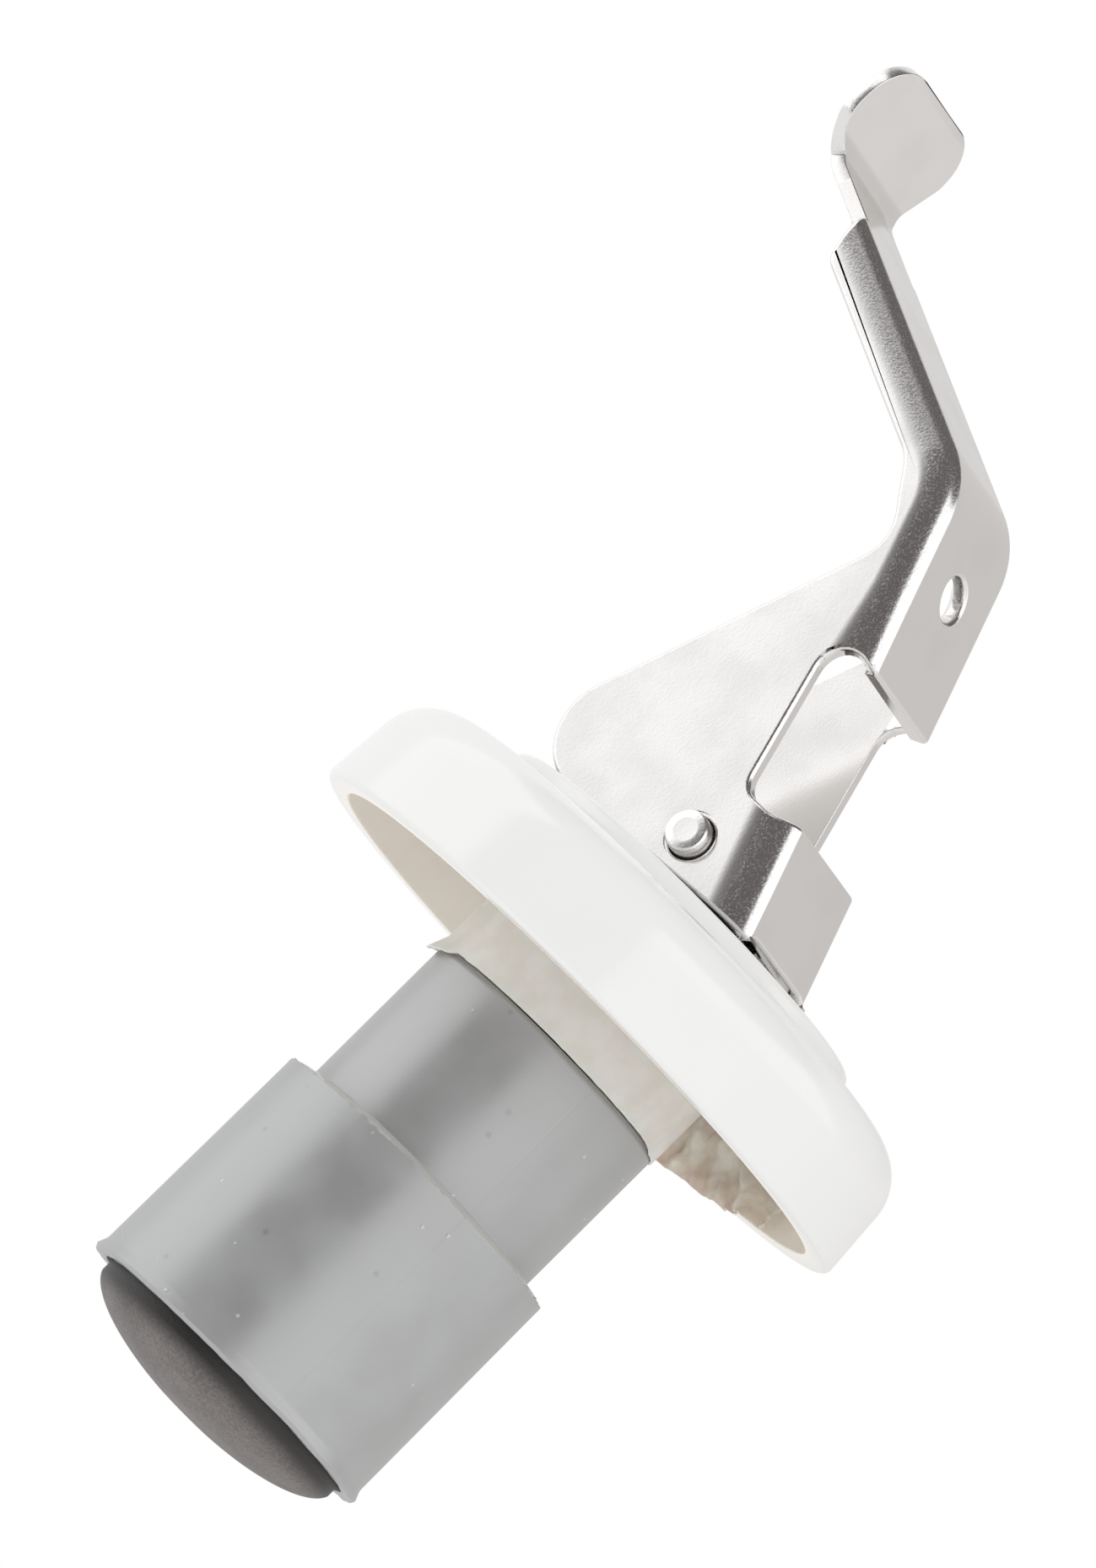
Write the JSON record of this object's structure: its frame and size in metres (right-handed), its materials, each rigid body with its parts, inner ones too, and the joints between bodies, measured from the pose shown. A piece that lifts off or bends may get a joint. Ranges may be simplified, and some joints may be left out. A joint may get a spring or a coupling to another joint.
{
  "type": "lever bottle stopper",
  "caption": "Expanding bottle stopper with a folding steel lever, a white cap and a grey rubber sleeve that swells when the lever is folded.",
  "frame": {"origin": "centre of the foot's flat lower end, on the stopper's axis", "axes": "+Z along the stopper's axis from the foot to the lever; +X from the axis towards the lever's spine, so the lever folds towards -X; +Y completes a right-handed frame and runs along the pivot pin"},
  "size_m": [0.0438, 0.0362, 0.0769],
  "materials": {
    "nickel_steel": "satin, fine stamped grain, brighter along the bends",
    "pin_steel": "bright sheared ends",
    "white_plastic": "glossy, opaque",
    "milky_plastic": "translucent, glossy",
    "grey_rubber": "smooth moulded, slightly dusty",
    "dark_nylon": "matte, fine grain"
  },
  "bodies": {
    "stopper": {"cap": "white_plastic", "seal_collar": "milky_plastic", "rubber_sleeve": "grey_rubber"},
    "plunger": {"plunger": "dark_nylon"},
    "lever": {"lever": "nickel_steel", "pivot_pin": "pin_steel"}
  },
  "joints": [
    {"name": "plunger_lift", "type": "slide", "parent": "stopper", "child": "plunger", "axis": [0, 0, 1], "range_m": [0, 0.00865], "deforming": ["rubber_sleeve"]},
    {"name": "lever_fold", "type": "hinge", "parent": "plunger", "child": "lever", "pos_m": [0, 0, 0.0387], "axis": [0, -1, 0], "range_deg": [0, 110], "stiffness_Nm_per_rad": 0.05, "springref_deg": -2.86}
  ],
  "couplings": [
    {"joint": "plunger_lift", "follows": "lever_fold", "m_per_rad": 0.0045055}
  ]
}
